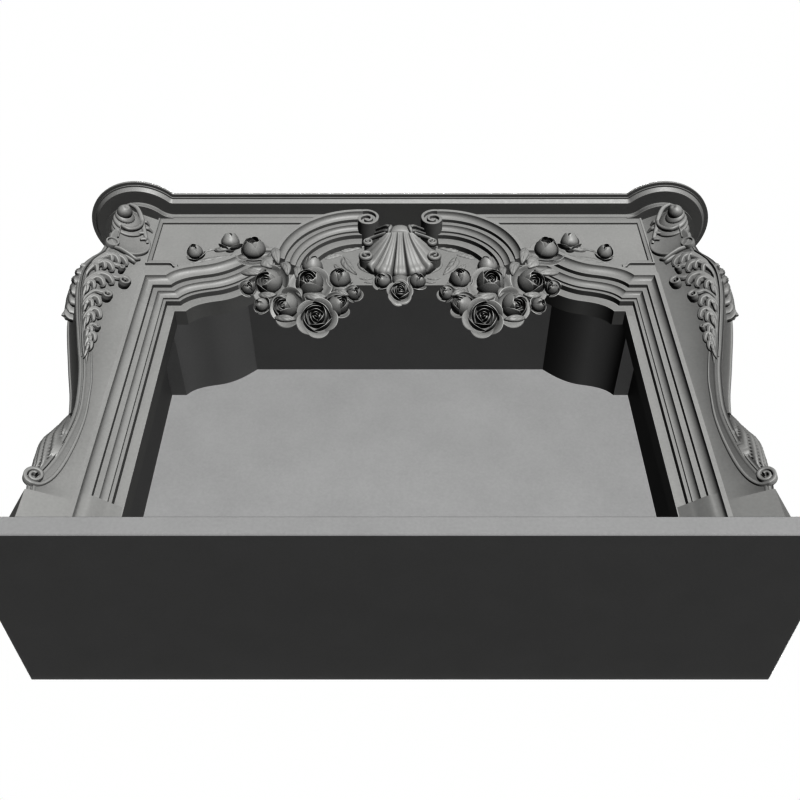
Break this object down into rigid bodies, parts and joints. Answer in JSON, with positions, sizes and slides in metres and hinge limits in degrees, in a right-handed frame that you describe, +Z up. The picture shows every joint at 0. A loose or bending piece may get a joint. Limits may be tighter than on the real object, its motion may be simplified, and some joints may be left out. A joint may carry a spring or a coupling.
{
  "type": "fireplace mantel",
  "caption": "Carved stone fireplace mantel with canted scroll jambs, an arched lintel with shell and roses, a moulded shelf with round corners, a firebox and a hearth slab.",
  "frame": {"origin": "on the floor, under the middle of the object's box", "axes": "+X to the right seen from the front, +Y from the front to the wall, +Z up"},
  "size_m": [1.6976, 0.517, 1.19],
  "materials": {
    "limestone": "carved grey limestone, honed, with a faint sheen on the rubbed edges",
    "hearthstone": "grey limestone slab, honed flat",
    "lining": "grey limestone, sawn and rubbed, matte"
  },
  "bodies": {
    "root": {"hearth_slab": "hearthstone", "back_panel": "lining", "firebox_lining": "lining", "jamb_left": "limestone", "jamb_right": "limestone", "return_left": "limestone", "return_right": "limestone", "lintel": "limestone", "shelf": "limestone"}
  },
  "joints": []
}
